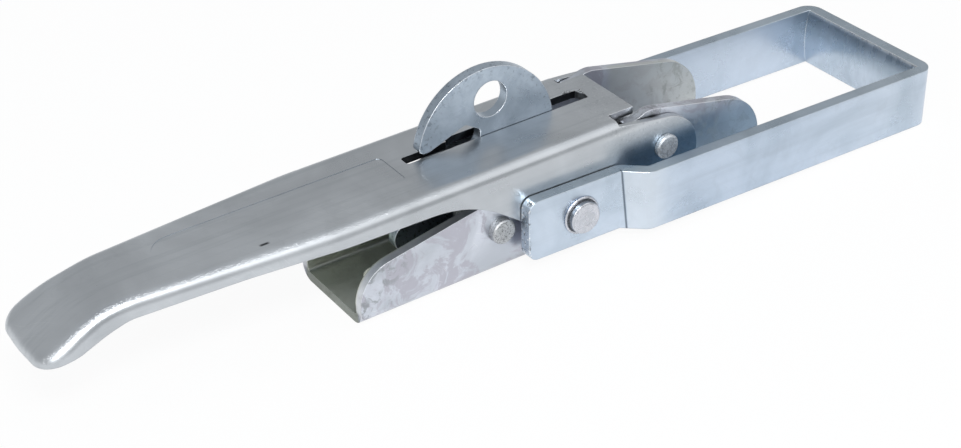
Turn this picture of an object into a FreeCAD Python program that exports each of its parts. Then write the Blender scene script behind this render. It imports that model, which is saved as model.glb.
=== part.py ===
# Over-centre latch for a trailer drop side: a folded base, a pressed lever, a bar loop and a sprung catch.
# Millimetres. +X runs along the latch to the loop's end bar and +Z up from the mounting face.
# The origin lies on the mounting face, midway between the two bolt holes.
import FreeCAD, Part
import math
import os

import Sketcher

V = FreeCAD.Vector
doc = FreeCAD.newDocument("side_latch")

# Driving dimensions
driving = {
    "clearance": 0.3,
    "face_gap": 0.1,
    "running_fit": 0.05,
    "fixed_fit": 0.02,
    "base_length": 148.0,
    "base_width": 34.0,
    "base_sheet": 3.0,
    "base_bend": 4.5,
    "base_low": 17.0,
    "base_knee": 25.0,
    "base_knee_at": 30.0,
    "base_foot": 31.6,
    "base_round": 13.0,
    "ear_left": 20.6,
    "ear_peak": 35.7,
    "ear_peak_at": 31.5,
    "ear_low": 26.0,
    "ear_round": 16.0,
    "bolt_spacing": 116.0,
    "bolt_hole": 4.5,
    "lever_sheet": 2.5,
    "lever_top": 36.4,
    "lever_bend": 4.0,
    "lever_skirt": 5.1,
    "lever_web_end": 27.0,
    "lever_taper_at": 78.0,
    "lever_neck_run": 20.6,
    "lever_neck": 14.1,
    "lever_nose_run": 9.1,
    "lever_nose": 15.5,
    "lever_reach": 167.6,
    "lever_nose_round": 7.0,
    "lever_droop": 27.0,
    "lever_droop_run": 30.1,
    "lever_droop_round": 46.0,
    "skirt_slope": 36.9,
    "lobe_radius": 9.0,
    "lug_radius": 12.8,
    "lug_drop": 3.3,
    "relief_left": 17.5,
    "relief_inner": 12.8,
    "relief_drop": 1.2,
    "panel_depth": 0.15,
    "panel_width": 15.4,
    "panel_nose_run": 41.2,
    "panel_right": 50.0,
    "slot_right": 19.7,
    "slot_left": 29.5,
    "slot_width": 6.0,
    "slot_near_gap": 0.2,
    "slot_tip_at": 45.6,
    "slot_tip_width": 4.1,
    "catch_pin_x": -25.5,
    "catch_pin_z": 15.0,
    "loop_pin_x": -1.0,
    "loop_pin_z": 14.0,
    "lever_pin_x": 34.0,
    "lever_pin_z": 23.5,
    "catch_pin": 4.0,
    "catch_pin_stand": 2.7,
    "loop_pin": 5.0,
    "loop_head": 6.3,
    "loop_head_height": 2.7,
    "lever_pin": 3.5,
    "lever_head": 4.0,
    "lever_head_height": 1.8,
    "loop_bar": 4.0,
    "loop_height": 20.0,
    "loop_eye_left": 19.0,
    "loop_eye_right": 14.8,
    "loop_eye_round": 3.4,
    "loop_joggle": 6.0,
    "loop_joggle_run": 7.0,
    "loop_reach": 138.6,
    "loop_corner": 5.5,
    "loop_press": 1.4,
    "loop_edge": 0.4,
    "catch_plate": 3.5,
    "catch_offset": 2.0,
    "moon_radius": 24.0,
    "moon_right": 7.9,
    "moon_up": 19.3,
    "padlock_radius": 5.8,
    "padlock_right": 9.7,
    "padlock_up": 32.8,
    "hub_radius": 8.5,
    "tail_reach": 26.0,
    "tail_radius": 5.0,
    "throat_gap": 1.1,
    "throat_right": 5.8,
    "throat_left": 12.1,
    "throat_rise": 4.7,
    "catch_tip_round": 1.7,
    "bush_radius": 5.2,
    "spring_wire": 0.7,
    "spring_coil": 6.3,
    "spring_turns": 5.0,
    "spring_pitch": 1.28,
    "spring_leg_less": 0.05,
}

sheet = doc.addObject("Spreadsheet::Sheet", "sizes")
for row, (alias, value) in enumerate(driving.items(), start=1):
    sheet.set(f"A{row}", alias)
    sheet.set(f"B{row}", str(value))
    sheet.setAlias(f"B{row}", alias)
doc.recompute()


def size(alias):
    return float(sheet.get(alias))


# Places that several pieces share, across the width from the middle outwards
base_half = size("base_width") / 2
base_end = size("base_length") / 2
wall_in = base_half - size("base_sheet")
lever_in = base_half + size("clearance")
lever_out = lever_in + size("lever_sheet")
eye_in = lever_out + size("clearance")
eye_out = eye_in + size("loop_bar")
arm_in = eye_in + size("loop_joggle")
arm_out = arm_in + size("loop_bar")
plate_near = size("catch_offset") - size("catch_plate") / 2
plate_far = size("catch_offset") + size("catch_plate") / 2
lever_top = size("lever_top")
web_under = lever_top - size("lever_sheet")
catch_pin = V(size("catch_pin_x"), size("catch_pin_z"), 0)
loop_pin = V(size("loop_pin_x"), size("loop_pin_z"), 0)
lever_pin = V(size("lever_pin_x"), size("lever_pin_z"), 0)
above = lever_top + 30
nose = -size("lever_reach")
droop_at = nose + size("lever_droop_run")
far_left = nose - 2

# Bindings for lengths that sketches and pads read from the sheet
flange_out = "sizes.base_width / 2 + sizes.clearance + sizes.lever_sheet"
arm_in_text = flange_out + " + sizes.clearance + sizes.loop_joggle"


def make_body(label):
    body = doc.addObject("PartDesign::Body", label)
    body.Label = label
    return body


# Sketches lie on the body's own origin planes, moved along the plane's normal where asked
def sketch_on(body, name, plane, shift=None):
    sketch = body.newObject("Sketcher::SketchObject", name)
    origin_plane = [item for item in body.Origin.OriginFeatures if item.Role == plane][0]
    sketch.AttachmentSupport = [(origin_plane, "")]
    sketch.MapMode = "FlatFace"
    if shift:
        sketch.setExpression("AttachmentOffset.Base.z", shift)
    return sketch


# Draws straight runs whose corners, given as (across, up, radius), are rounded, and closes them
# with one more straight run or, where a middle point is given, with an arc through it
def draw_outline(sketch, corners, arc_middle=None):
    count = len(corners)
    starts, ends, arcs = [], [], []
    for index in range(count):
        before = V(corners[index - 1][0], corners[index - 1][1], 0)
        here = V(corners[index][0], corners[index][1], 0)
        after = V(corners[(index + 1) % count][0], corners[(index + 1) % count][1], 0)
        radius = corners[index][2]
        if radius <= 0:
            starts.append(here)
            ends.append(here)
            arcs.append(None)
            continue
        back = (before - here).normalize()
        onward = (after - here).normalize()
        half_angle = back.getAngle(onward) / 2
        along = radius / math.tan(half_angle)
        centre = here + (back + onward).normalize() * (radius / math.sin(half_angle))
        first = here + back * along
        last = here + onward * along
        middle = centre + (here - centre).normalize() * radius
        starts.append(first)
        ends.append(last)
        arcs.append(Part.Arc(first, middle, last))
    for index in range(count):
        if arcs[index]:
            sketch.addGeometry(arcs[index], False)
        following = starts[(index + 1) % count]
        if arc_middle and index == count - 1:
            sketch.addGeometry(Part.Arc(ends[index], arc_middle, following), False)
        elif (following - ends[index]).Length > 1e-6:
            sketch.addGeometry(Part.LineSegment(ends[index], following), False)


# Draws a circle whose centre and radius are bound to the sheet
def draw_circle(sketch, across, up, radius):
    index = sketch.addGeometry(Part.Circle(V(0, 0, 0), V(0, 0, 1), 1), False)
    for kind, text in (("DistanceX", across), ("DistanceY", up)):
        number = sketch.addConstraint(Sketcher.Constraint(kind, -1, 1, index, 3, 1))
        sketch.setExpression(f"Constraints[{number}]", text)
    number = sketch.addConstraint(Sketcher.Constraint("Radius", index, 1))
    sketch.setExpression(f"Constraints[{number}]", radius)


def pad_both_ways(body, sketch, name, length):
    pad = body.newObject("PartDesign::Pad", name)
    pad.Profile = sketch
    pad.SideType = "Symmetric"
    pad.setExpression("Length", length)
    doc.recompute()
    return pad


def cut_both_ways(body, sketch, name, length=None):
    before = body.Shape.Volume
    pocket = body.newObject("PartDesign::Pocket", name)
    pocket.Profile = sketch
    pocket.SideType = "Symmetric"
    if length:
        pocket.setExpression("Length", length)
    else:
        pocket.Type = "ThroughAll"
    doc.recompute()
    if body.Shape.Volume > before - 1e-3:
        raise RuntimeError(name + " cut nothing")
    return pocket


# Revolves a closed outline of (radius, along) points about the Y axis of the body
def turned_piece(label, place, outline):
    body = make_body(label)
    sketch = sketch_on(body, label + "_section", "XY_Plane")
    draw_outline(sketch, outline)
    turn = body.newObject("PartDesign::Revolution", label + "_turned")
    turn.Profile = sketch
    turn.ReferenceAxis = (sketch, ["V_Axis"])
    turn.Angle = 360
    doc.recompute()
    body.Placement = FreeCAD.Placement(V(place.x, 0, place.y), FreeCAD.Rotation())
    return body


def fillet_edges(body, name, radius, wanted):
    tip = body.Tip
    names = [f"Edge{number}" for number, edge in enumerate(tip.Shape.Edges, start=1) if wanted(edge)]
    fillet = body.newObject("PartDesign::Fillet", name)
    fillet.Base = (tip, names)
    fillet.setExpression("Radius", radius)
    doc.recompute()
    return fillet


# The point where a line from an outside point touches a circle, on its left (1) or right (-1) side
def touch_point(centre, radius, outside, side):
    reach = outside - centre
    angle = math.atan2(reach.y, reach.x) - side * math.acos(radius / reach.Length)
    return centre + V(math.cos(angle), math.sin(angle), 0) * radius


# The point where two lines cross, each given by two of its points
def crossing(first, second, third, fourth):
    one = second - first
    two = fourth - third
    share = ((third - first).cross(two)).z / (one.cross(two)).z
    return first + one * share


def on_circle(centre, radius, degrees):
    angle = math.radians(degrees)
    return centre + V(math.cos(angle), math.sin(angle), 0) * radius


# Base: a channel folded from sheet, with side walls that rise to the ears round the lever's pin
def make_base():
    body = make_body("base")
    sheet_t, bend = size("base_sheet"), size("base_bend")
    top = size("ear_peak") + 1
    section = sketch_on(body, "base_section", "YZ_Plane")
    draw_outline(section, [(-base_half, top, 0), (-base_half, 0, bend), (base_half, 0, bend),
                           (base_half, top, 0), (wall_in, top, 0), (wall_in, sheet_t, bend - sheet_t),
                           (-wall_in, sheet_t, bend - sheet_t), (-wall_in, top, 0)])
    pad_both_ways(body, section, "base_channel", "sizes.base_length")
    low = sheet_t / 2
    left, peak, peak_at = size("ear_left"), size("ear_peak"), size("ear_peak_at")
    trim = sketch_on(body, "base_trim", "XZ_Plane")
    draw_outline(trim, [(-base_end, low, 0), (-base_end, size("base_low"), size("base_round")),
                        (-size("base_knee_at"), size("base_knee"), 60), (left, size("base_foot"), 0.9),
                        (left + 0.5, peak - 1.8, 1.2), (left + 5, peak - 1.5, 4), (left + 8, peak - 0.1, 4),
                        (peak_at, peak, 6), (base_end, size("ear_low"), size("ear_round")),
                        (base_end, low, 0), (base_end + 5, low, 0), (base_end + 5, above, 0),
                        (-base_end - 5, above, 0), (-base_end - 5, low, 0)])
    cut_both_ways(body, trim, "base_wall_shape")
    bores = sketch_on(body, "base_bores", "XZ_Plane")
    draw_circle(bores, "sizes.catch_pin_x", "sizes.catch_pin_z", "sizes.catch_pin + sizes.fixed_fit")
    draw_circle(bores, "sizes.lever_pin_x", "sizes.lever_pin_z", "sizes.lever_pin + sizes.fixed_fit")
    cut_both_ways(body, bores, "base_pin_bores")
    bolts = sketch_on(body, "base_bolts", "XY_Plane")
    draw_circle(bolts, "-sizes.bolt_spacing / 2", "0", "sizes.bolt_hole")
    draw_circle(bolts, "sizes.bolt_spacing / 2", "0", "sizes.bolt_hole")
    cut_both_ways(body, bolts, "base_bolt_holes")
    return body


# The lever's top line at a depth below its outer skin: level, then bent down in an arc to the nose
def lever_droop(inset):
    radius = size("lever_droop_round") - inset
    start = V(droop_at, lever_top - inset, 0)
    centre = start - V(0, radius, 0)
    middle = on_circle(centre, radius, 90 + size("lever_droop") / 2)
    last = on_circle(centre, radius, 90 + size("lever_droop"))
    along = V(last.y - centre.y, centre.x - last.x, 0).normalize() * -1
    end = last + along * ((far_left - last.x) / along.x)
    return start, middle, last, end


# Half of the lever's plan at a depth inside its skin: parallel, tapered to a neck, flared to the nose
def lever_half_plan(inset):
    neck = size("lever_neck") - inset
    flare = size("lever_nose") - inset
    return [(-size("lever_taper_at"), lever_out - inset, 80), (nose + size("lever_neck_run"), neck, 30),
            (nose + size("lever_nose_run"), flare, 6),
            (nose + inset + 0.5, flare - 0.4, size("lever_nose_round") - inset)]


def cut_lever_plan(body, name, inset):
    half = lever_half_plan(inset)
    side = lever_out - inset
    front = nose + inset
    right = size("lever_pin_x") + 60
    mirrored = [(x, -y, radius) for x, y, radius in half[::-1]]
    plan = sketch_on(body, name + "_plan", "XY_Plane")
    draw_outline(plan, [(right, side, 0)] + half + [(front - 0.3, 0, 60)] + mirrored
                 + [(right, -side, 0), (right, -side - 30, 0), (far_left - 30, -side - 30, 0),
                    (far_left - 30, side + 30, 0), (right, side + 30, 0)])
    cut_both_ways(body, plan, name + "_plan_cut")


def lever_droop_height(x):
    start = droop_at
    if x >= start:
        return lever_top
    radius = size("lever_droop_round")
    turn = math.radians(size("lever_droop"))
    if x > start - radius * math.sin(turn):
        return lever_top - radius + math.sqrt(radius ** 2 - (x - start) ** 2)
    drop = radius * (1 - math.cos(turn))
    return lever_top - drop - (start - radius * math.sin(turn) - x) * math.tan(turn)


# Lever: sheet pressed to a channel that narrows to a drooped nose, with a lobe round each loop
# rivet and a lug round each end of its own pin
def lever_side_view():
    lug = lever_pin - V(0.3, size("lug_drop"), 0)
    lug_radius, lobe_radius = size("lug_radius"), size("lobe_radius")
    slope = math.radians(size("skirt_slope"))
    lobe_side = on_circle(loop_pin, lobe_radius, 270 - size("skirt_slope"))
    lobe_up = lobe_side + V(-math.cos(slope), math.sin(slope), 0)
    between = lug - loop_pin
    tilt = math.degrees(math.atan2(between.y, between.x) - math.asin((lug_radius - lobe_radius) / between.Length))
    lug_foot = on_circle(lug, lug_radius, tilt - 90)
    lobe_foot = on_circle(loop_pin, lobe_radius, tilt - 90)
    side_line = V(lug.x + lug_radius, 0, 0), V(lug.x + lug_radius, 1, 0)
    low = lever_top - size("lever_skirt")
    skirt_start = V(droop_at + 30, low, 0)
    skirt_end = V(-size("lever_taper_at") + 20, low - 1.1, 0)
    crown = V(size("relief_left"), lever_top - size("relief_drop"), 0)
    brow = touch_point(lug, lug_radius, crown, 1)
    shoulder = crossing(crown, brow, *side_line)
    lug_corner = crossing(lug_foot, lobe_foot, *side_line)
    lobe_corner = crossing(lug_foot, lobe_foot, lobe_side, lobe_up)
    skirt_corner = crossing(lobe_side, lobe_up, skirt_start, skirt_end)
    return crown, brow, shoulder, lug_corner, lobe_corner, skirt_corner, skirt_start


def make_lever():
    body = make_body("handle")
    crown, brow, shoulder, lug_corner, lobe_corner, skirt_corner, skirt_start = lever_side_view()
    start, middle, last, end = lever_droop(0)
    web_end = size("lever_web_end")
    fall = end.y - lever_top
    side = sketch_on(body, "lever_side", "XZ_Plane")
    draw_outline(side, [(start.x, start.y, 0), (web_end, lever_top, 0), (brow.x, brow.y, 0),
                        (shoulder.x, shoulder.y, size("lug_radius")),
                        (lug_corner.x, lug_corner.y, size("lug_radius")),
                        (lobe_corner.x, lobe_corner.y, size("lobe_radius")),
                        (skirt_corner.x, skirt_corner.y, 40), (skirt_start.x, skirt_start.y, 200),
                        (droop_at - 3.5, skirt_start.y - 0.6, 12),
                        (nose + size("lever_nose_run") + 2.4, lever_top - 10.4, 6),
                        (nose, lever_top - 12.0, 0), (end.x, lever_top - 12.6, 0),
                        (end.x, end.y, 0), (last.x, last.y, 0)], middle)
    pad_both_ways(body, side, "lever_block", f"2 * ({flange_out})")
    cut_lever_plan(body, "lever", 0)

    def on_rim(edge):
        box = edge.BoundBox
        outer = min(abs(vertex.Y) for vertex in edge.Vertexes) > size("lever_neck") - 5
        high = all(vertex.Z > lever_droop_height(vertex.X) - 0.05 for vertex in edge.Vertexes)
        return outer and high and box.XMax < web_end + 0.1 and box.XLength > 0.1 and box.YMin * box.YMax > 0

    fillet_edges(body, "lever_bends", "sizes.lever_bend", on_rim)

    hollow = make_body("lever_hollow")
    start, middle, last, end = lever_droop(size("lever_sheet"))
    inside = sketch_on(hollow, "hollow_side", "XZ_Plane")
    right = size("lever_pin_x") + 50
    draw_outline(inside, [(start.x, start.y, 0), (web_end, web_under, 0), (web_end, above, 0), (right, above, 0),
                          (right, -20, 0), (end.x, -20, 0), (end.x, end.y, 0), (last.x, last.y, 0)], middle)
    pad_both_ways(hollow, inside, "hollow_block", "sizes.base_width + 2 * sizes.clearance")
    cut_lever_plan(hollow, "hollow", size("lever_sheet"))

    def on_inner_rim(edge):
        box = edge.BoundBox
        outer = min(abs(vertex.Y) for vertex in edge.Vertexes) > size("lever_neck") - 8
        under = all(abs(vertex.Z - lever_droop_height(vertex.X)) < 6 for vertex in edge.Vertexes)
        return outer and under and box.XMax < web_end + 0.1 and box.XLength > 0.1 and box.YMin * box.YMax > 0

    fillet_edges(hollow, "hollow_bends", "sizes.lever_bend - sizes.lever_sheet", on_inner_rim)
    doc.recompute()
    cut = body.newObject("PartDesign::Boolean", "lever_hollowed")
    cut.Type = "Cut"
    cut.setObjects([hollow])
    doc.recompute()

    crown_trim_middle = f"(sizes.base_width / 2 + sizes.clearance + sizes.lever_sheet / 2)"
    for name, sign in (("near", ""), ("far", "-")):
        trim = sketch_on(body, "crown_trim_" + name, "XZ_Plane", sign + crown_trim_middle)
        draw_outline(trim, [(crown.x, crown.y, 0), (brow.x, brow.y, 0), (brow.x, above, 0), (crown.x, above, 0)])
        cut_both_ways(body, trim, "crown_cut_" + name, "2 * sizes.lever_sheet")

    # Reliefs beside the web let the base's ears pass as the lever swings open
    relief = sketch_on(body, "relief_plan", "XY_Plane")
    inner, left, right = size("relief_inner"), crown.x, web_end + 1
    draw_outline(relief, [(left, inner, 0), (left, lever_in, 0), (right, lever_in, 0), (right, inner, 0)])
    draw_outline(relief, [(left, -inner, 0), (left, -lever_in, 0), (right, -lever_in, 0), (right, -inner, 0)])
    cut_both_ways(body, relief, "relief_cut")

    bores = sketch_on(body, "lever_bores", "XZ_Plane")
    draw_circle(bores, "sizes.loop_pin_x", "sizes.loop_pin_z", "sizes.loop_pin + sizes.fixed_fit")
    draw_circle(bores, "sizes.lever_pin_x", "sizes.lever_pin_z", "sizes.lever_pin + sizes.running_fit")
    cut_both_ways(body, bores, "lever_pin_bores")

    # The slot takes the catch plate, and its narrow end lets the catch's tip through as the lever lifts
    near = plate_near - size("slot_near_gap")
    far = near + size("slot_width")
    middle_y = size("catch_offset")
    tip_half = size("slot_tip_width") / 2
    slot_right, slot_left = size("slot_right"), -size("slot_left")
    slot = sketch_on(body, "slot_plan", "XY_Plane")
    draw_outline(slot, [(slot_right, near, 0.3), (slot_right + 0.3, near + 2.2, 0.3), (slot_right - 0.5, far - 1.8, 0.2),
                        (slot_right - 0.9, far - 0.3, 0.2), (slot_right - 2.4, far, 0.3), (slot_left, far, 0.6),
                        (slot_left, middle_y + tip_half, 0.5), (-size("slot_tip_at"), middle_y + tip_half, 1),
                        (-size("slot_tip_at"), middle_y - tip_half, 1), (slot_left, middle_y - tip_half, 0),
                        (slot_left, near, 0)])
    cut_both_ways(body, slot, "slot_cut")

    # A shallow panel is pressed into the grip
    panel = sketch_on(body, "panel_plan", "XY_Plane", "sizes.lever_top - sizes.panel_depth")
    half = size("panel_width") / 2
    draw_outline(panel, [(nose + size("panel_nose_run"), 0.6 - half, half - 0.1), (-size("panel_right"), 0.6 - half, 2),
                         (-size("panel_right"), 0.6 + half, 2), (nose + size("panel_nose_run"), 0.6 + half, half - 0.1)])
    pocket = body.newObject("PartDesign::Pocket", "panel_pressed")
    pocket.Profile = panel
    pocket.Reversed = True
    pocket.setExpression("Length", "sizes.panel_depth + 1")
    doc.recompute()
    return body


# Loop: a flat bar bent to a long U on edge. Its ends step inwards to eyes on the lever's rivets, and
# its end bar is pressed to a curved section. It hangs from the rivets until the end bar meets z = 0.
def make_loop():
    body = make_body("loop")
    bar = size("loop_bar")
    eye_left, eye_right = -size("loop_eye_left"), size("loop_eye_right")
    run, step = size("loop_joggle_run"), size("loop_joggle")
    shift = bar * math.tan(math.atan2(step, run) / 2)
    reach = size("loop_reach") - size("loop_pin_x")
    inner_end = reach - bar - size("loop_press")
    corner = size("loop_corner")
    plan = sketch_on(body, "loop_plan", "XY_Plane")
    outer = [(eye_left, eye_out, 0), (eye_right, eye_out, 0.5), (eye_right + run, arm_out, 5),
             (reach, arm_out, corner)]
    inner = [(inner_end, arm_in, 0), (eye_right + run + shift, arm_in, 1.5), (eye_right + shift, eye_in, 5),
             (eye_left, eye_in, 0)]
    mirror = [(x, -y, radius) for x, y, radius in outer[::-1]]
    mirror_in = [(x, -y, radius) for x, y, radius in inner[::-1]]
    draw_outline(plan, outer + mirror + mirror_in + inner)
    pad_both_ways(body, plan, "loop_bar_bent", "sizes.loop_height")

    half = size("loop_height") / 2
    press = size("loop_press")
    curve = (half ** 2 + press ** 2) / (2 * press)
    hollow = sketch_on(body, "end_hollow", "XZ_Plane")
    draw_outline(hollow, [(reach, -half, 0), (reach + 3, -half - 3, 0), (reach + 3, half + 3, 0),
                          (reach, half, 0)], V(reach - press, 0, 0))
    cut_both_ways(body, hollow, "end_hollow_pressed")
    centre = V(reach - press + curve, 0, 0)
    inner_edge = V(centre.x - math.sqrt((curve + bar) ** 2 - half ** 2), half, 0)
    for name, sign in (("top", 1), ("bottom", -1)):
        bulge = sketch_on(body, "end_bulge_" + name, "XZ_Plane")
        corner_point = V(inner_edge.x, sign * inner_edge.y, 0)
        middle = on_circle(centre, curve + bar, 180 - sign * math.degrees(math.asin(half / (curve + bar))) / 2)
        draw_outline(bulge, [(inner_end, 0, 0), (inner_end - 1, sign, 0), (inner_end - 1, sign * (half + 2), 0),
                             (corner_point.x, sign * (half + 2), 0), (corner_point.x, corner_point.y, 0)], middle)
        cut_both_ways(body, bulge, "end_bulge_cut_" + name, "2 * (" + arm_in_text + ")")
    bores = sketch_on(body, "eye_bores", "XZ_Plane")
    draw_circle(bores, "0", "0", "sizes.loop_pin + sizes.running_fit")
    cut_both_ways(body, bores, "eye_bored")
    fillet_edges(body, "eye_corners", "sizes.loop_eye_round",
                 lambda edge: edge.BoundBox.XMax < eye_left + 0.1 and edge.BoundBox.YLength > bar - 0.1
                 and edge.BoundBox.ZLength < 0.1)
    drop = math.degrees(math.asin((loop_pin.y - half) / (reach - bar / 2)))
    body.Placement = FreeCAD.Placement(V(loop_pin.x, 0, loop_pin.y), FreeCAD.Rotation(V(0, 1, 0), drop))
    return body


# Catch: one plate with a half-moon head and a padlock hole, a hub on its pin and a tail under the spring
def make_catch():
    body = make_body("safety_catch")
    hub = catch_pin
    moon = catch_pin + V(size("moon_right"), size("moon_up"), 0)
    moon_radius, hub_radius, tail_radius = size("moon_radius"), size("hub_radius"), size("tail_radius")
    right = on_circle(moon, moon_radius, -20)
    low = hub.y - hub_radius
    hub_touch = touch_point(hub, hub_radius, right, 1)
    heel = crossing(right, hub_touch, V(0, low, 0), V(1, low, 0))
    under = lever_top + size("throat_gap")
    tip = V(moon.x - math.sqrt(moon_radius ** 2 - (under - moon.y) ** 2), under, 0)
    tail_left = hub.x - size("tail_reach")
    neck = hub.x + size("throat_right")
    sketch = sketch_on(body, "catch_outline", "XZ_Plane")
    draw_outline(sketch, [(right.x, right.y, 0), (heel.x, heel.y, hub_radius - 0.01), (tail_left, low, tail_radius),
                          (tail_left, low + 2 * tail_radius, tail_radius - 0.01),
                          (hub.x - 8, low + 2 * tail_radius, 8),
                          (neck, lever_top, 3), (neck - 0.2, under + 1.5, 1.3),
                          (hub.x + 0.6, under + size("throat_rise"), 2),
                          (hub.x - size("throat_left"), under, 2), (tip.x, tip.y, 0)],
                 on_circle(moon, moon_radius, 75))
    pad_both_ways(body, sketch, "catch_plate", "sizes.catch_plate")
    bores = sketch_on(body, "catch_bores", "XZ_Plane")
    draw_circle(bores, "sizes.catch_pin_x", "sizes.catch_pin_z", "sizes.catch_pin + sizes.running_fit")
    draw_circle(bores, "sizes.catch_pin_x + sizes.padlock_right", "sizes.catch_pin_z + sizes.padlock_up",
                "sizes.padlock_radius")
    cut_both_ways(body, bores, "catch_bored")
    fillet_edges(body, "catch_tip", "sizes.catch_tip_round",
                 lambda edge: edge.BoundBox.XMax < tip.x + 0.1 and edge.BoundBox.YLength > 1
                 and edge.BoundBox.ZMin > lever_top)
    body.Placement = FreeCAD.Placement(V(0, size("catch_offset"), 0), FreeCAD.Rotation())
    return body


def make_pins():
    stand = base_half + size("catch_pin_stand")
    pin, edge = size("catch_pin"), 0.5
    turned_piece("catch_pivot_pin", catch_pin, [(0, -stand, 0), (pin - edge, -stand, 0), (pin, edge - stand, 0),
                                                (pin, stand - edge, 0), (pin - edge, stand, 0), (0, stand, 0)])
    inside = lever_out + size("face_gap")
    outside = inside + size("lever_head_height")
    pin, head = size("lever_pin"), size("lever_head")
    turned_piece("handle_pivot_pin", lever_pin,
                 [(0, -outside, 0), (head - edge, -outside, 0), (head, edge - outside, 0), (head, -inside, 0),
                  (pin, -inside, 0), (pin, inside, 0), (head, inside, 0), (head, outside - edge, 0),
                  (head - edge, outside, 0), (0, outside, 0)])
    under = eye_out + size("face_gap")
    top = under + size("loop_head_height")
    pin, head = size("loop_pin"), size("loop_head")
    for label, side in (("loop_rivet_near", -1), ("loop_rivet_far", 1)):
        turned_piece(label, loop_pin,
                     [(0, side * lever_in, 0), (pin, side * lever_in, 0), (pin, side * under, 0),
                      (head, side * under, 0), (head, side * (top - edge), 0), (head - edge, side * top, 0),
                      (0, side * top, 0)])
    for label, start, end in (("catch_bush_near", -wall_in, plate_near - size("face_gap")),
                              ("catch_bush_far", plate_far + size("face_gap"), wall_in)):
        inner, outer = size("catch_pin") + size("fixed_fit"), size("bush_radius")
        turned_piece(label, catch_pin, [(inner, start, 0), (outer, start, 0), (outer, end, 0), (inner, end, 0)])


# Spring: close-wound coils round the near bush, one leg on the base's floor and one hooked over the tail
def make_spring():
    wire, coil, pitch = size("spring_wire"), size("spring_coil"), size("spring_pitch")
    turns = int(size("spring_turns"))
    floor = size("base_sheet") + wire + size("clearance")
    tail_top = catch_pin.y - size("hub_radius") + 2 * size("tail_radius") + wire + size("clearance")
    last_y = plate_near - size("clearance") - 2 * wire
    first_y = last_y - (turns - 1) * pitch
    centre = V(catch_pin.x, 0, catch_pin.y)
    pieces = []
    for turn in range(turns):
        ring = doc.addObject("Part::Torus", f"spring_ring_{turn + 1}")
        ring.setExpression("Radius1", "sizes.spring_coil")
        ring.setExpression("Radius2", "sizes.spring_wire")
        ring.Placement = FreeCAD.Placement(centre + V(0, first_y + turn * pitch, 0),
                                           FreeCAD.Rotation(V(1, 0, 0), 90))
        pieces.append(ring)

    def add_run(name, start, end):
        run = doc.addObject("Part::Cylinder", name)
        run.setExpression("Radius", "sizes.spring_wire - sizes.spring_leg_less")
        run.Height = (end - start).Length
        run.Placement = FreeCAD.Placement(start, FreeCAD.Rotation(V(0, 0, 1), end - start))
        pieces.append(run)

    foot = V(catch_pin.x + 19, first_y, floor)
    low = touch_point(catch_pin, coil, V(foot.x, foot.z, 0), -1)
    add_run("spring_foot", V(low.x, first_y, low.y), foot)
    reach = V(catch_pin.x - size("tail_reach") + 7, last_y, tail_top)
    high = touch_point(catch_pin, coil, V(reach.x, reach.z, 0), 1)
    add_run("spring_arm", V(high.x, last_y, high.y), reach)
    add_run("spring_hook", reach, V(reach.x, plate_far, tail_top))
    knuckle = doc.addObject("Part::Sphere", "spring_knuckle")
    knuckle.setExpression("Radius", "sizes.spring_wire")
    knuckle.Placement = FreeCAD.Placement(reach, FreeCAD.Rotation())
    pieces.append(knuckle)
    spring = doc.addObject("Part::MultiFuse", "catch_spring")
    spring.Label = "catch_spring"
    spring.Shapes = pieces
    doc.recompute()


make_base()
make_lever()
make_loop()
make_catch()
make_pins()
make_spring()
doc.recompute()

for item in doc.Objects:
    if "Invalid" in item.State or "Error" in item.State:
        raise RuntimeError(item.Name + " failed: " + str(item.State))

os.makedirs("parts", exist_ok=True)
for label in ("base", "handle", "loop", "safety_catch", "catch_spring", "catch_bush_near", "catch_bush_far",
              "catch_pivot_pin", "handle_pivot_pin", "loop_rivet_near", "loop_rivet_far"):
    item = doc.getObjectsByLabel(label)[0]
    if item.Shape.isNull() or not item.Shape.isValid() or len(item.Shape.Solids) != 1:
        raise RuntimeError(label + " is not one sound solid")
    item.Shape.exportStep("parts/" + label + ".step")
    print(label, round(item.Shape.Volume), "mm3")
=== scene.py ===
import bmesh
import bpy
import numpy as np
from mathutils import Matrix, Vector


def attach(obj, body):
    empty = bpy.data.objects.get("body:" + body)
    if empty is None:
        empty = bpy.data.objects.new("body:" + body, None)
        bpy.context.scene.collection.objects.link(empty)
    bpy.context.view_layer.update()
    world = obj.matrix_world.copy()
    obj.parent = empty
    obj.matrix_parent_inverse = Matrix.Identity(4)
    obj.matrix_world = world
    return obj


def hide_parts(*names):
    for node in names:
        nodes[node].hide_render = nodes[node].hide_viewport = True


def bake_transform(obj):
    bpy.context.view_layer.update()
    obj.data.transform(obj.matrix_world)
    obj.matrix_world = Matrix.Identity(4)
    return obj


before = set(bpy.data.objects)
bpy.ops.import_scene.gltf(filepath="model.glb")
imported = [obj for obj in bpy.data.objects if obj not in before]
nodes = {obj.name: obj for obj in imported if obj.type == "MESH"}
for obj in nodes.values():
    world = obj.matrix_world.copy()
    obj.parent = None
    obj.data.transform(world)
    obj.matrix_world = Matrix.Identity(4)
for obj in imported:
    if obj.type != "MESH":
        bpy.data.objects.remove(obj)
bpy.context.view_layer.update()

scene = bpy.context.scene
print("frame loaded with", len(nodes), "nodes")


# sRGB hex to linear
def linear(hexColour):
    values = [int(hexColour[i:i + 2], 16) / 255 for i in (0, 2, 4)]
    return tuple(v / 12.92 if v <= 0.04045 else ((v + 0.055) / 1.055) ** 2.4 for v in values) + (1.0,)


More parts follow.
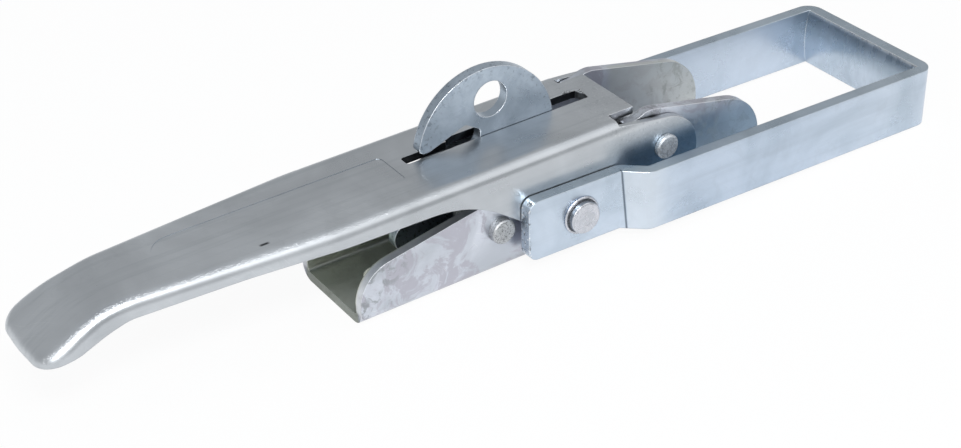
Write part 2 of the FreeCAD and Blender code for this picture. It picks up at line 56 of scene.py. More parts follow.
# Adds one node with its settings and its inputs, in order or by name, each a value or a socket to link
def addNode(tree, kind, settings, inputs, out=0):
    node = tree.nodes.new("ShaderNode" + kind)
    for name, value in settings.items():
        setattr(node, name, value)
    for name, value in inputs.items() if isinstance(inputs, dict) else enumerate(inputs):
        if isinstance(value, bpy.types.NodeSocket):
            tree.links.new(value, node.inputs[name])
        else:
            node.inputs[name].default_value = value
    return node.outputs if out is None else node.outputs[out]


# Settings that many nodes share
times, plus, minus = ({"operation": word} for word in ("MULTIPLY", "ADD", "SUBTRACT"))
absolute = {"operation": "ABSOLUTE"}
smooth = {"clamp": True, "interpolation_type": "SMOOTHSTEP"}
acrossPin = (1, 0, 1)  # takes out a place's distance along Y


def newMaterial(name):
    material = bpy.data.materials.new(name)
    material.use_nodes = True
    material.node_tree.nodes.clear()
    return material, material.node_tree


# Object coordinates in millimetres, stretched along each axis
def millimetres(tree, stretch=(1, 1, 1)):
    place = addNode(tree, "TexCoord", {}, {}, "Object")
    return addNode(tree, "Mapping", {"vector_type": "POINT"},
                   {"Vector": place, "Scale": [1000 * s for s in stretch]})


# Adds a pattern's noises to the measures and gives its smooth steps, all by name. A look may give a noise
# a scale of its own, and gives the height of a step where the pattern has the name of one of its values
def addPattern(tree, pattern, look, measures, place, otherPlaces):
    for name, (scale, detail, roughness, distortion) in pattern["noises"].items():
        vector, ownScale = otherPlaces.get(name, place), look.get(name + "Scale", scale)
        measures[name] = addNode(tree, "TexNoise", {"noise_dimensions": "3D"},
                                 {"Vector": vector, "Scale": ownScale, "Detail": detail,
                                  "Roughness": roughness, "Distortion": distortion})
    steps = {}
    for name, (measure, low, high, least, most) in pattern["steps"].items():
        steps[name] = addNode(tree, "MapRange", smooth,
                              (measures[measure], low, high, least, look.get(most, most)))
    return steps


# Lays tones over a first one, each through its mask
def layTones(tree, first, layers):
    tone = linear(first)
    for mask, hexColour, blend in layers:
        tone = addNode(tree, "Mix", {"data_type": "RGBA", "blend_type": blend},
                       {0: mask, 6: tone, 7: linear(hexColour)}, 2)
    return tone


# The sum of fields, each by its amount
def weighted(tree, terms):
    total = 0.0
    for field, amount in terms:
        total = addNode(tree, "Math", plus, (total, addNode(tree, "Math", times, (field, amount))))
    return total


# One inside a range and none outside it, rising from a to b and falling from c to d
def between(tree, value, a, b, c, d):
    rise = addNode(tree, "MapRange", smooth, (value, a, b, 0.0, 1.0))
    fall = addNode(tree, "MapRange", smooth, (value, d, c, 0.0, 1.0))
    return addNode(tree, "Math", times, (rise, fall))


beyond = 400  # millimetres, past every point of the latch


# Ranges for between that stay open on one side
def above(a, b):
    return a, b, beyond, beyond + 1


def below(c, d):
    return -beyond - 1, -beyond, c, d


nowhere = above(beyond, beyond + 1)
slantLean = 0.045  # how far the crease line leans along X for each millimetre of height
facingStep = (0.4, 0.8)  # how squarely a face has to look along an area's axis


# The product of an area's ranges along the axes, Aside being the distance from the middle, and of how
# squarely the face looks along its facing axis
def areaMask(tree, axes, facing, area):
    mask = area["amount"]
    for axis in ("X", "Y", "Z", "Aside", "Slant"):
        if axis in area:
            mask = addNode(tree, "Math", times, (mask, between(tree, axes[axis], *area[axis])))
    if "facing" in area:
        axis, way = area["facing"]
        low, high = facingStep
        square = addNode(tree, "MapRange", smooth, (facing[axis], low * way, high * way, 0.0, 1.0))
        mask = addNode(tree, "Math", times, (mask, square))
    return mask


# What all the plated sheets share. The grain, half a millimetre across, and the scratches are coarser than
# real ones, so that they show
sheetPattern = {
    "noises": {  # scale per millimetre, detail, roughness, distortion
        "cloud": (0.03, 4, 0.6, 0.6), "streak": (0.5, 5, 0.6, 0.0), "grain": (1.9, 3, 0.6, 0.0),
        "stain": (0.13, 6, 0.72, 0.7), "patch": (0.028, 2, 0.5, 0.0), "mottle": (0.11, 6, 0.68, 0.8),
        "speck": (0.85, 4, 0.7, 0.0), "glint": (1.1, 2, 0.5, 0.4), "chatter": (1.2, 3, 0.7, 0.0),
        "wave": (0.09, 2, 0.5, 0.0)},
    "steps": {  # what it measures, start, end, height at the start and at the end
        "pale": ("cloud", 0.3, 0.72, 0.0, 1.0), "streaks": ("streak", 0.45, 0.75, 0.0, "streak"),
        "mottles": ("mottle", 0.46, 0.56, 0.0, "mottle"), "stains": ("stain", 0.51, 0.6, 0.0, "stain"),
        "patches": ("patch", 0.42, 0.58, 0.0, 1.0), "scratches": ("scratch", 0.99, 1.0, 0.0, "scratch"),
        "scratched": ("cloud", 0.5, 0.62, 0.0, 1.0), "specks": ("speck", 0.55, 0.62, 0.0, 1.0),
        "glints": ("glint", 0.6, 0.66, 0.0, "glints"), "rims": ("alike", 0.99, 0.85, 0.0, "rim"),
        "steep": ("up", 0.9, 0.6, 0.0, 1.0), "dullClouds": ("cloud", 0.3, 0.7, -0.04, 0.06),
        "dullStreaks": ("streak", 0.4, 0.75, 0.0, 0.08), "grip": ("X", -15, -75, 0.15, 1.0),
        "chatters": ("chatter", 0.48, 0.62, 0.0, "chatter")}}
# The rim tone is a painted highlight, the glint tone paints glints of light, and the steep tone paints shade
sheetTone = {"mottle": "b5b3bd", "scratch": "f2f4f5", "speck": "454d57", "glint": "ffffff", "rim": "f4f7fa",
             "steep": "e2e6ea"}
scratchLines = {"Scale": 0.12, "Distortion": 7.0, "Detail": 2.0, "Detail Scale": 0.5}
foldRange = (0.3, 0.4, 0.58, 0.7)  # how far sideways a bend's face looks
stainDullness = 0.3
sheetRelief = {"streak": 0.5, "grain": 0.5}  # shares of the bump


# Rolled and pressed sheet with bright zinc plating: soft mottling, drawn streaks, stains and bare
# scratches, rounded edges with a painted highlight, dark specks where shears and dies have bitten with
# painted glints among them, a knock's dark mark, and areas of painted shade and painted light
def zincPlate(name, look):
    material, tree = newMaterial(name)
    place = millimetres(tree)
    drawn = millimetres(tree, look["stretch"])
    axes = dict(addNode(tree, "SeparateXYZ", {}, (place,), None).items())
    lean = addNode(tree, "Math", times, (axes["Z"], slantLean))
    axes["Slant"] = addNode(tree, "Math", plus, (axes["X"], lean))
    axes["Aside"] = addNode(tree, "Math", absolute, (axes["Y"],))

    # Rounded rims, except in the flat area, whose own small steps get painted shade instead
    face = addNode(tree, "NewGeometry", {}, {}, None)
    facing = addNode(tree, "SeparateXYZ", {}, (face["True Normal"],), None)
    flat = areaMask(tree, axes, facing, look["flat"])
    rounded = addNode(tree, "Math", minus, (1.0, flat))
    radius = addNode(tree, "Math", times, (rounded, look["edge"] / 1000))
    bevel = addNode(tree, "Bevel", {"samples": 8}, {"Radius": radius})

    alike = addNode(tree, "VectorMath", {"operation": "DOT_PRODUCT"}, (bevel, face["Normal"]), "Value")
    lines = addNode(tree, "TexWave", {"wave_type": "BANDS", "bands_direction": "DIAGONAL"},
                    dict(scratchLines, Vector=place), "Fac")
    measures = {"X": axes["X"], "up": facing["Z"], "alike": alike, "scratch": lines}
    steps = addPattern(tree, sheetPattern, look, measures, place, {"streak": drawn})
    stain = addNode(tree, "Math", times, (steps["stains"], steps["patches"]))
    scratch = addNode(tree, "Math", times, (steps["scratches"], steps["scratched"]))
    # Painted shade on the steep faces of the flat area's small steps
    steep = addNode(tree, "Math", times, (steps["steep"], flat))
    # Where the dark pits lie, with painted glints of light put among them
    pitsAndGlintsZone = addNode(tree, "MapRange", smooth, (axes["X"], look["speckFrom"], look["speckTo"], 0.0, 1.0))
    if "ring" in look:
        ring = look["ring"]
        spot = addNode(tree, "VectorMath", times, (place, acrossPin))
        away = addNode(tree, "VectorMath", {"operation": "DISTANCE"}, (spot, ring["centre"]), "Value")
        rimward = addNode(tree, "MapRange", smooth, (away, ring["from"], ring["to"], 0.0, 1.0))
        pitsAndGlintsZone = addNode(tree, "Math", {"operation": "MAXIMUM"}, (pitsAndGlintsZone, rimward))
    specks = addNode(tree, "Math", times, (steps["specks"], pitsAndGlintsZone))
    darkSpecks = addNode(tree, "Math", times, (specks, look["specks"]))
    glints = addNode(tree, "Math", times, (steps["glints"], pitsAndGlintsZone))

    layers = [(steps["pale"], look["light"], "MIX"), (steps["streaks"], look["streakTone"], "MIX"),
              (steps["mottles"], sheetTone["mottle"], "MIX"), (stain, look["stainTone"], "MIX"),
              (scratch, sheetTone["scratch"], "MIX"), (darkSpecks, sheetTone["speck"], "MIX"),
              (glints, sheetTone["glint"], "MIX"), (steps["rims"], sheetTone["rim"], "MIX"),
              (steep, sheetTone["steep"], "MULTIPLY")]
    layers += [(areaMask(tree, axes, facing, area), area["tone"], area["blend"]) for area in look["areas"]]
    tone = layTones(tree, look["dark"], layers)
    rough = weighted(tree, [(steps["dullClouds"], 1.0), (steps["dullStreaks"], 1.0), (stain, stainDullness)])
    rough = addNode(tree, "Math", plus, (rough, look["rough"]))

    # Chatter marks on the long bends, stronger towards the grip
    sideways = addNode(tree, "Math", absolute, (facing["Y"],))
    fold = addNode(tree, "Math", times, (between(tree, sideways, *foldRange), steps["grip"]))
    height = weighted(tree, [(measures[field], share) for field, share in sheetRelief.items()]
                      + [(specks, -look["pitDepth"]), (fold, steps["chatters"])])
    normal = bevel
    for relief, field in (("wave", measures["wave"]), ("bump", height)):
        normal = addNode(tree, "Bump", {}, {"Strength": 1.0, "Distance": look[relief] / 1000,
                                            "Height": field, "Normal": normal})
    shader = addNode(tree, "BsdfPrincipled", {},
                     {"Metallic": 1.0, "Base Color": tone, "Roughness": rough, "Normal": normal})
    addNode(tree, "OutputMaterial", {}, {"Surface": shader}, None)
    return material


# What the turned and cropped pieces share, in the same order as for the sheets
turnedPattern = {
    "noises": {"cloud": (0.5, 4, 0.65, 0.8), "grain": (2.0, 4, 0.7, 0.0)},
    "steps": {"pale": ("cloud", 0.3, 0.7, 0.0, 1.0), "pits": ("grain", 0.5, 0.64, 0.0, "pits"),
              "dullClouds": ("cloud", 0.3, 0.7, -0.06, 0.08)}}
turnedTone = {"pits": "3c3e40", "groove": "2b363c"}
grooveShadeShare = 0.8
turnedEdge = 0.3  # millimetres


# Turned steel with zinc plating: the cutter's rings about the pin's axis, drawn wider apart than its real
# feed so that they show, with grain and pits from the plating
def turnedSteel(name, look):
    material, tree = newMaterial(name)
    place = millimetres(tree)
    spoke = addNode(tree, "VectorMath", minus, (place, look["centre"]))
    spoke = addNode(tree, "VectorMath", times, (spoke, acrossPin))
    away = addNode(tree, "VectorMath", {"operation": "LENGTH"}, (spoke,), "Value")
    phase = addNode(tree, "Math", times, (away, look["ringsPerMm"] * 6.283))
    rings = addNode(tree, "Math", {"operation": "SINE"}, (phase,))
    measures = {}
    steps = addPattern(tree, turnedPattern, look, measures, place, {})
    layers = [(steps["pale"], look["light"], "MIX"), (steps["pits"], turnedTone["pits"], "MIX")]
    # Painted shade in the groove round the stem
    if "groove" in look:
        groove = addNode(tree, "Math", times, (between(tree, away, *look["groove"]), grooveShadeShare))
        layers.append((groove, turnedTone["groove"], "MIX"))
    tone = layTones(tree, look["dark"], layers)
    rough = addNode(tree, "Math", plus, (steps["dullClouds"], look["rough"]))
    height = weighted(tree, [(rings, look["ringDepth"]), (measures["grain"], look["grainDepth"])])
    bevel = addNode(tree, "Bevel", {"samples": 6}, {"Radius": turnedEdge / 1000})
    bump = addNode(tree, "Bump", {}, {"Strength": 1.0, "Distance": 0.001, "Height": height, "Normal": bevel})
    shader = addNode(tree, "BsdfPrincipled", {},
                     {"Metallic": look["metal"], "Base Color": tone, "Roughness": rough, "Normal": bump})
    addNode(tree, "OutputMaterial", {}, {"Surface": shader}, None)
    return material


def paint(name, material):
    mesh = nodes[name].data
    mesh.materials.clear()
    mesh.materials.append(material)


# The look that the sheets start from: tones are sRGB hex, scales are per millimetre, the edge, the wave
# and the bump are millimetres, and an area's ranges are millimetres in the object's own axes
plain = {"stretch": (0.02, 1.0, 0.4),  # streaks run along X
         "dark": "b9bfc2", "light": "d0d6d9", "streak": 0.3, "streakTone": "a2a9ad",
         "stain": 0.2, "stainTone": "8a8f92",
         "mottle": 0.0, "scratch": 0.15, "rough": 0.3, "wave": 0.04, "bump": 0.01,
         "edge": 0.35, "rim": 0.5,  # rounding, and the strength of the painted highlight on a rim
         "speckFrom": -beyond, "speckTo": -beyond - 1,  # specks and painted glints start at the first and are full at the second
         "specks": 0.0, "glints": 0.0, "pitDepth": 0.0, "chatter": 0.0,
         "flat": {"Z": nowhere, "amount": 1.0}, "areas": []}

# Lever: pressed from sheet, with painted blue-black shade on its lobes by the loop, painted shade in its
# notches and slot, painted glints by the lobes, and one knock on the grip
# Painted shade in the notches by the pin, dark in the near one and lighter in the far one
notchShade = {"X": (19, 21, 31, 34), "Y": (-18.4, -17.6, -13.2, -12.2), "Z": (25, 27, 33.2, 34.4),
         "tone": "22272c", "blend": "MULTIPLY", "amount": 0.95}
farNotchShade = {"X": (19, 21, 31, 34), "Y": (12.2, 13.2, 17.6, 18.4), "Z": (25, 27, 33.2, 34.4),
            "tone": "858b91", "blend": "MULTIPLY", "amount": 0.8}
# Painted blue-black shade and reflection on the lobes beside the loop
hingeShade = {"X": above(12, 23), "Aside": above(18.4, 19.2), "Z": (0, 1, 23, 31),
              "tone": "a8c6dc", "blend": "MULTIPLY", "amount": 0.95}
knock = {"X": (-101, -99.9, -98.4, -97.2), "Y": (-12.7, -12.1, -11.7, -11.2), "Z": above(30, 31),
         "tone": "2b2c30", "blend": "MIX", "amount": 0.95}
# Painted shade on the slot's inner walls
slotWallShade = {"X": (-52, -51, 20.5, 21), "Y": (-2, -1, 6.6, 7.2), "Z": above(28, 29), "facing": ("Y", -1),
            "tone": "33383d", "blend": "MULTIPLY", "amount": 0.9}
panelFlat = {"X": (-146, -142, -46, -43), "Aside": below(10, 11), "Z": above(25, 27), "amount": 1.0}
lever = dict(plain, cloudScale=0.022, dark="bcc0c4", light="d1d5d9", stain=0.08, rim=0.2, chatter=4.0,
             flat=panelFlat, speckFrom=6.0, speckTo=17.0, specks=0.12, glints=0.16,
             areas=[hingeShade, knock, slotWallShade, notchShade, farNotchShade])
paint("handle", zincPlate("zincLeverSheet", lever))

# Base: folded sheet with blotched plating, painted greenish light inside its open end, painted shade
# further in, painted light on the far ear and the walls' top edges, a painted bluish reflection on the near
# ear, and darker on the floor's end face
# Painted greenish light inside the open end
channelLight = {"X": (-90, -89, -44, -30), "Aside": below(14.6, 15.2), "Z": below(16, 27),
           "tone": "cdd1c2", "blend": "MIX", "amount": 0.8}
floorEnd = {"X": below(-73, -72), "Aside": below(15, 17), "Z": below(5, 8), "facing": ("X", -1),
            "tone": "84898a", "blend": "MULTIPLY", "amount": 0.75}
innerShade = {"X": (-40, -30, 22, 24), "Aside": below(14.6, 15.2), "Z": below(24, 26),
              "tone": "4a4f52", "blend": "MULTIPLY", "amount": 0.6}
# Painted bluish reflection and shade on the near ear's outer face
earShade = {"X": above(36, 44), "Aside": above(15.4, 16.4), "Z": (0, 1, 21, 31),
            "tone": "b8ccd8", "blend": "MIX", "amount": 0.75}
# Painted light on the far ear's inner face
farEarLight = {"X": above(36, 40), "Y": (9, 11, 15.6, 16.2), "tone": "cfd3cd", "blend": "MIX", "amount": 0.6}
# Painted light on the top edges of the walls
cutEdgeLight = {"X": below(10, 20), "Aside": (14.1, 14.5, 16.6, 17), "Z": above(3, 5),
           "tone": "eceff2", "blend": "MIX", "amount": 0.7}
plate = dict(plain, stretch=(0.05, 1.0, 0.25), cloudScale=0.05, dark="c2c7cf", light="dfe3ec",
             streakScale=0.3, stainScale=0.22, stain=0.6, stainTone="8f9496", mottle=0.7, scratch=0.5,
             rough=0.33, wave=0.06, bump=0.014, rim=0.75,
             areas=[channelLight, floorEnd, innerShade, earShade, farEarLight, cutEdgeLight, notchShade])
paint("base", zincPlate("zincBaseSheet", plate))

# Loop: one flat bar, bluish and smooth, torn at its near eye's end with painted glints there, with painted
# shade along the arms, in the bend's crease, on the end bar's inside and on top faces, and painted
# highlights on the bend, the far arm's inside and the end bar's inside
armShade = {"X": (22, 36, 62, 130), "Aside": above(20, 21), "tone": "d6dde6", "blend": "MULTIPLY",
            "amount": 0.35}
# Painted shade in the crease of the first bend
creaseShade = {"Slant": (14.85, 15.1, 15.3, 15.55), "Aside": (23, 23.4, 26, 27),
              "tone": "56606a", "blend": "MULTIPLY", "amount": 0.75}
# Painted highlight on the bend
bendHighlight = {"Slant": (15.3, 15.9, 21, 30), "Aside": above(23, 23.4),
            "tone": "e9eef2", "blend": "MIX", "amount": 0.35}
# Painted light on the far arm's inner face
farInsideLight = {"X": (60, 70, 126, 129), "Y": above(20, 21), "facing": ("Y", -1),
             "tone": "dce7f6", "blend": "MIX", "amount": 0.3}
# Painted reflection on the end bar's inner face: a shaded band under a painted highlight line
endShade = {"X": above(128, 130), "Z": (8, 14, 18.4, 19.2), "facing": ("X", -1),
           "tone": "a6b2b6", "blend": "MULTIPLY", "amount": 0.42}
endHighlight = {"X": above(128, 130), "Z": (18.8, 19.6, 20.2, 21.2), "facing": ("X", -1),
           "tone": "f4f7f9", "blend": "MIX", "amount": 0.9}
# Painted shade on faces that look upward
topFaceShade = {"Z": above(9, 10), "facing": ("Z", 1), "tone": "cdd2cd", "blend": "MULTIPLY", "amount": 0.4}
bar = dict(plain, stretch=(0.015, 1.0, 0.5), dark="b9c6d3", light="d4dfec", streakScale=0.3,
           streakTone="a9b4bf", stain=0.06, scratch=0.08, rough=0.26, bump=0.008, edge=0.5, rim=0.3,
           speckFrom=-19.0, speckTo=-19.8, specks=0.8, glints=0.9, pitDepth=6.0,
           areas=[armShade, creaseShade, bendHighlight, farInsideLight, endShade, endHighlight, topFaceShade])
paint("loop", zincPlate("zincFlatBar", bar))

# Safety catch: stamped plate, grey-blue, with dark specks along the half moon's rim
moon = dict(plain, stretch=(1.0, 1.0, 1.0), cloudScale=0.06, dark="a2aeba", light="bdc9d5",
            streakTone="98a6b6", stainTone="7f8d9d", scratch=0.08, rough=0.29, wave=0.08, bump=0.018,
            edge=0.45, rim=0.7, speckFrom=-30.0, speckTo=-40.0, specks=0.5, pitDepth=1.0,
            ring={"centre": (-17.6, 0, 34.3), "from": 19.5, "to": 24.5})
paint("safety_catch", zincPlate("zincCatchPlate", moon))

# Rivets: turned bright, with fine rings and painted shade in the groove round the stem
rivet = {"centre": (-1, 0, 14), "ringsPerMm": 1.6, "ringDepth": 0.03, "grainScale": 2.4,
         "grainDepth": 0.012, "pits": 0.08, "dark": "c3c6cc", "light": "d9dae0", "rough": 0.27,
         "metal": 1.0, "groove": (5.05, 5.2, 5.45, 5.6)}
rivetMaterial = turnedSteel("turnedSteelRivet", rivet)
for label in ("loop_rivet_near", "loop_rivet_far"):
    paint(label, rivetMaterial)

# Catch's pin and bushes: cropped from bar and left rough
roughEnd = {"centre": (-25.5, 0, 15), "ringsPerMm": 0.7, "ringDepth": 0.006, "grainScale": 2.0,
            "grainDepth": 0.14, "pits": 0.7, "dark": "a9acae", "light": "c4c6c8", "rough": 0.4,
            "metal": 0.8}
croppedMaterial = turnedSteel("croppedSteelPin", roughEnd)
for label in ("catch_pivot_pin", "catch_bush_near", "catch_bush_far"):
    paint(label, croppedMaterial)

# Lever's pin: a turned head, worn
pinHead = {"centre": (34, 0, 23.5), "ringsPerMm": 1.0, "ringDepth": 0.008, "grainScale": 1.6,
           "grainDepth": 0.09, "pits": 0.45, "dark": "b4babf", "light": "ccd1d6", "rough": 0.26,
           "metal": 0.55}
paint("handle_pivot_pin", turnedSteel("turnedSteelPin", pinHead))

# Spring: drawn wire, darker than the plating
wire = dict(roughEnd, dark="6a6d70", light="8b8f92", rough=0.33, pits=0.25, grainDepth=0.03)
wireMaterial = turnedSteel("drawnSpringWire", wire)
paint("catch_spring", wireMaterial)

# Burrs: torn steel, bare and pitted
burrSteel = dict(roughEnd, dark="8d9092", light="c9cccf", rough=0.3, pits=0.5)
burrMaterial = turnedSteel("tornSteelBurr", burrSteel)
print("materials made")


# A mesh whose points come as several stacks of closed rings in millimetres, with a cap on each end: each
# point makes a face with the next on its ring and with the two above them
def ringedPiece(name, stacks, material):
    points, faces, start = [], [], 0
    for rows in stacks:
        grid = start + np.arange(rows[..., 0].size).reshape(rows.shape[:2])
        after = np.roll(grid, -1, axis=1)
        sides = np.stack((grid[:-1], after[:-1], after[1:], grid[1:]), axis=-1)
        faces += sides.reshape(-1, 4).tolist() + [grid[0, ::-1].tolist(), grid[-1].tolist()]
        points.append(rows.reshape(-1, 3) / 1000)
        start += grid.size
    mesh = bpy.data.meshes.new(name)
    mesh.from_pydata(np.concatenate(points).tolist(), [], faces)
    shape = bmesh.new()
    shape.from_mesh(mesh)
    bmesh.ops.recalc_face_normals(shape, faces=shape.faces)
    shape.to_mesh(mesh)
    shape.free()
    mesh.polygons.foreach_set("use_smooth", np.ones(len(mesh.polygons), dtype=bool))
    mesh.materials.append(material)
    piece = bpy.data.objects.new(name, mesh)
    scene.collection.objects.link(piece)
    return piece


def fullTurn(count):
    return np.linspace(0, 2 * np.pi, count, endpoint=False)


# Turned rivet head: each profile point is a radius and a height along Y, turned about the pin's axis, and
# the end face carries rings, its height raised by 0.02 times the sine of 7.5 times the radius
rivetShape = {"centre": (-1, 14), "shank": 5.0, "inner": 17.32, "seat": 24.22, "foot": 6.25, "stem": 5.15,
              "top": 26.85, "ringHeight": 0.02, "ringTurn": 7.5, "rings": 46, "around": 72,
              # the flared foot, from its radius and its seat
              "flare": ((-0.1, 0), (0, 0.12), (-0.06, 0.3), (-0.3, 0.48), (-0.6, 0.52)),
              # the groove round the stem, from its radius and the seat
              "groove": ((0.22, 0.4), (0.08, 0.22), (0, 0.3), (0, 0.7)),
              # the stem's rounded edge, from its radius and its top
              "edge": ((0, -0.62), (-0.05, -0.36), (-0.2, -0.14), (-0.45, -0.02)),
              "face": (-0.62, 0.05)}  # from the stem's radius, and the last ring's own radius


def rivetRows(shape, side):
    seat, top, stem, foot = shape["seat"], shape["top"], shape["stem"], shape["foot"]
    cx, cz = shape["centre"]
    outer, inner = shape["face"]
    rings = np.linspace(stem + outer, inner, shape["rings"])
    ringed = np.stack((rings, top + shape["ringHeight"] * np.sin(shape["ringTurn"] * rings)), axis=1)
    profile = np.concatenate(([(shape["shank"], shape["inner"]), (shape["shank"], seat)],
                              np.add((foot, seat), shape["flare"]), np.add((stem, seat), shape["groove"]),
                              np.add((stem, top), shape["edge"]), ringed))
    radius, height = profile[:, :1], profile[:, 1:]
    angle = fullTurn(shape["around"])
    return np.stack((cx + radius * np.cos(angle), side * height + 0 * angle, cz + radius * np.sin(angle)),
                    axis=-1)


for label, side in (("near", -1), ("far", 1)):
    head = ringedPiece("rivet_head_" + label, [rivetRows(rivetShape, side)], rivetMaterial)
    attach(head, "handle")
    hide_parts("loop_rivet_" + label)
print("rivets made")

# Wound spring: a straight foot, then 4.16 turns of a helix, which is the pin's centre plus the radius times
# the cosine and the sine of the turn, then a straight arm, a bend and a hook
coil = {"centre": (-25.5, 15.0), "radius": 6.3, "wire": 0.6,  # radii
        "turn": (43.2, 1541.7), "y": (-6.57, -1.45),  # degrees and place along the pin, first and last
        "foot": (-6.5, 4.0), "reach": (-44.5, 17.5), "hook": 4.1,  # ends in x and z, and in y
        "bend": 1.2, "drop": 0.25,  # the bend's radius, and the arm's fall along it
        "steps": {"helix": 300, "straight": 16, "bend": 9, "hook": 8}}


def springPath(look):
    cx, cz = look["centre"]
    first, last = look["y"]
    steps, bend, drop = look["steps"], look["bend"], look["drop"]
    angles = np.radians(np.linspace(*look["turn"], steps["helix"]))
    rise = np.linspace(first, last, steps["helix"])
    helix = np.stack((cx + look["radius"] * np.cos(angles), rise,
                      cz + look["radius"] * np.sin(angles)), axis=1)
    foot = np.array((look["foot"][0], first, look["foot"][1]))
    reach = np.array((look["reach"][0], last, look["reach"][1]))
    run = np.linspace(foot, helix[0], steps["straight"])[:-1]
    arm = np.linspace(helix[-1], reach + (bend, 0, drop), steps["straight"])[1:]
    swing = np.radians(np.linspace(10, 90, steps["bend"]))
    back, aside = 1 - np.sin(swing), 1 - np.cos(swing)
    corner = reach + np.stack((bend * back, bend * aside, drop * back), axis=1)
    hook = np.linspace(corner[-1], (corner[-1][0], look["hook"], corner[-1][2]), steps["hook"])[1:]
    return np.concatenate([run, helix, arm, corner, hook])


# The wire's rings stand square to the path, each frame carried on from the one before it
def wireRows(path, radius, around=12):
    ahead = np.gradient(path, axis=0)
    ahead /= np.linalg.norm(ahead, axis=1)[:, None]
    side = np.cross(ahead[0], (0.0, 1.0, 0.0))
    angle = fullTurn(around)[:, None]
    rows = []
    for point, along in zip(path, ahead):
        side = side - along * np.dot(side, along)
        side /= np.linalg.norm(side)
        up = np.cross(along, side)
        rows.append(point + radius * (np.cos(angle) * side + np.sin(angle) * up))
    return np.array(rows)


spring = ringedPiece("wound_spring", [wireRows(springPath(coil), coil["wire"])], wireMaterial)
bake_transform(spring)
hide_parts("catch_spring")
print("spring made")

# Torn slivers: a five-sided spike whose width is (1 - t) to the power 0.7 and whose lean is t squared
sliver = {"sides": 5, "rings": 6, "last": 0.96, "power": 0.7, "flatness": 0.45, "root": 0.15}


def sliverRows(foot, lean, height, width, turn):
    t = np.linspace(0, sliver["last"], sliver["rings"])[:, None]
    angle = turn + fullTurn(sliver["sides"])
    radius = width * (1 - t) ** sliver["power"]
    thin = radius * sliver["flatness"]
    return np.stack((foot[0] + lean[0] * t * t + radius * np.cos(angle),
                     foot[1] + lean[1] * t * t + thin * np.sin(angle),
                     foot[2] + (height * t - sliver["root"]) + 0 * angle), axis=-1)


# Draws a sliver's lean, height, width and turn in that order
def drawSliver(foot, look):
    lean = chance.uniform(*look["lean"], 2)
    return sliverRows(foot, lean, chance.uniform(*look["height"]), chance.uniform(*look["width"]),
                      chance.uniform(0, 3))


# The slot's end tore along its far side, then across its end
slotTear = {"slivers": 20, "farSide": 12, "from": 14.6, "run": 4.6, "side": 6.1, "top": 36.4,
            "end": 19.85, "endSide": 5.8, "endStep": 0.55,
            "lean": (-0.7, 0.3), "height": (0.4, 1.4), "width": (0.25, 0.5)}
chance = np.random.default_rng(7)
slivers = []
for count in range(slotTear["slivers"]):
    along = count / (slotTear["slivers"] - 1)
    foot = (slotTear["from"] + slotTear["run"] * along, slotTear["side"], slotTear["top"])
    if count >= slotTear["farSide"]:
        across = slotTear["endSide"] - slotTear["endStep"] * (count - slotTear["farSide"])
        foot = (slotTear["end"], across, slotTear["top"])
    slivers.append(drawSliver(foot, slotTear))
tear = ringedPiece("slot_tear", slivers, burrMaterial)
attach(tear, "handle")

# The sheared end of the loop's near eye keeps a few flakes along its top corner, set from its own points
eyeFlake = {"flakes": 16, "row": 8, "left": -17.5, "near": -22, "inset": (0.5, 0.25, -0.12),
            "stepX": 0.22, "stepY": 0.35, "lean": (-0.3, 0.15), "height": (0.2, 0.6), "width": (0.15, 0.35)}
loopPoints = np.empty(len(nodes["loop"].data.vertices) * 3)
nodes["loop"].data.vertices.foreach_get("co", loopPoints)
loopPoints = loopPoints.reshape(-1, 3) * 1000
eyeEnd = loopPoints[(loopPoints[:, 0] < eyeFlake["left"]) & (loopPoints[:, 1] < eyeFlake["near"])]
corner = np.array((eyeEnd[:, 0].min(), eyeEnd[:, 1].min(), eyeEnd[:, 2].max())) + eyeFlake["inset"]
flakes = []
for count in range(eyeFlake["flakes"]):
    foot = corner + (eyeFlake["stepX"] * (count % eyeFlake["row"]), eyeFlake["stepY"] * (count // 3), 0)
    flakes.append(drawSliver(foot, eyeFlake))
eyeFlakes = ringedPiece("eye_flakes", flakes, burrMaterial)
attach(eyeFlakes, "loop")
print("burrs made")

# Camera as fitted to the photograph
cameraData = bpy.data.cameras.new("camera")
camera = bpy.data.objects.new("camera", cameraData)
scene.collection.objects.link(camera)
right = Vector((0.825899, -0.562627, -0.033996))
down = Vector((-0.328350, -0.430936, -0.840041))
ahead = Vector((0.458016, 0.705063, -0.540541))
turn = Matrix((right, -down, -ahead)).transposed()
camera.matrix_world = Matrix.Translation(Vector((-0.283817, -0.412255, 0.322475))) @ turn.to_4x4()
cameraData.sensor_width = 36
cameraData.lens = 71.64
cameraData.shift_x = -0.0154
cameraData.shift_y = -0.0064
scene.camera = camera
scene.view_settings.view_transform = "Standard"

# How much of the white backdrop a ray sees: straight for the camera and clear things, mirrored for plating
floorShare = {"straight": 0.93, "mirrored": 0.5}
skyShare = {"straight": 1.0, "mirrored": 0.2}


def backdropShare(tree, straight, mirrored):
    rays = addNode(tree, "LightPath", {}, {}, None)
    return weighted(tree, [(rays["Is Camera Ray"], straight), (rays["Is Transmission Ray"], straight),
                           (rays["Is Glossy Ray"], mirrored)])


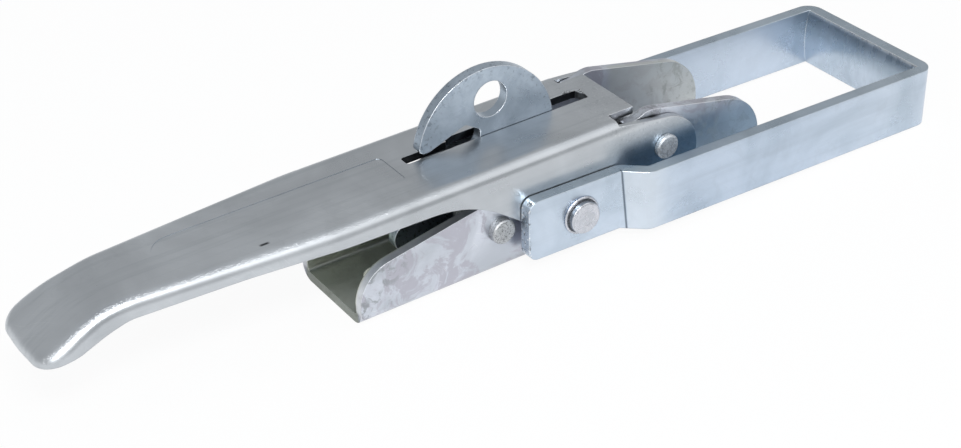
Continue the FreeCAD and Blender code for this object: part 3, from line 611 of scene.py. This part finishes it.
# Pale matt board just under the latch
floorHalf, floorDrop = 3, -0.0004
floorMesh = bpy.data.meshes.new("floor")
floorCorners = [(x * floorHalf, y * floorHalf, floorDrop) for x, y in ((-1, -1), (1, -1), (1, 1), (-1, 1))]
floorMesh.from_pydata(floorCorners, [], [(0, 1, 2, 3)])
floor = bpy.data.objects.new("floor", floorMesh)
scene.collection.objects.link(floor)
floorMaterial, tree = newMaterial("paleFloor")
board = addNode(tree, "BsdfDiffuse", {}, {"Color": linear("f4f5f6")})
glow = addNode(tree, "Emission", {}, {"Color": (1, 1, 1, 1), "Strength": 1.0})
surface = addNode(tree, "MixShader", {}, (backdropShare(tree, **floorShare), board, glow))
addNode(tree, "OutputMaterial", {}, {"Surface": surface}, None)
floorMesh.materials.append(floorMaterial)

# The room round it: levels by height, from straight down at 0 to straight up at 1
room = {"down": (0.525, 0.5375, 0.55, 1), "up": (0.375, 0.4, 0.4375, 1),
        "levels": ((0.25, 0.4375), (0.42, 0.375), (0.56, 0.4125), (0.7, 0.425), (0.82, 0.4625)),
        "red": 0.963, "blue": 1.037}
world = bpy.data.worlds.new("studio")
scene.world = world
world.use_nodes = True
tree = world.node_tree
tree.nodes.clear()
way = addNode(tree, "TexCoord", {}, {}, "Generated")
ramp = addNode(tree, "ValToRGB", {}, (addNode(tree, "SeparateXYZ", {}, (way,), "Z"),))
stops = ramp.node.color_ramp.elements
stops[0].position, stops[0].color = 0.0, room["down"]
stops[1].position, stops[1].color = 1.0, room["up"]
for position, level in room["levels"]:
    stop = stops.new(position)
    stop.color = (level * room["red"], level, level * room["blue"], 1)
sky = addNode(tree, "Background", {}, {"Color": ramp, "Strength": 1.0})
white = addNode(tree, "Background", {}, {"Color": (1, 1, 1, 1), "Strength": 1.0})
mixed = addNode(tree, "MixShader", {}, (backdropShare(tree, **skyShare), sky, white))
addNode(tree, "OutputWorld", {}, {"Surface": mixed}, None)


# Places and sizes in metres, power in watts
def softLight(name, place, target, width, height, power):
    data = bpy.data.lights.new(name, "AREA")
    data.shape = "RECTANGLE"
    data.size, data.size_y, data.energy = width, height, power
    lamp = bpy.data.objects.new(name, data)
    scene.collection.objects.link(lamp)
    lamp.location = place
    lamp.rotation_euler = (Vector(target) - Vector(place)).to_track_quat("-Z", "Y").to_euler()


softLight("key", (-0.34, -0.84, 1.06), (-0.1, 0, 0), 0.5, 0.3, 9)
softLight("top", (0.7, -0.4, 1.0), (0, 0, 0), 1.4, 1.0, 3)
softLight("fill", (-1.1, -1.0, 0.8), (0, 0, 0), 0.9, 0.6, 7)
print("stage made")
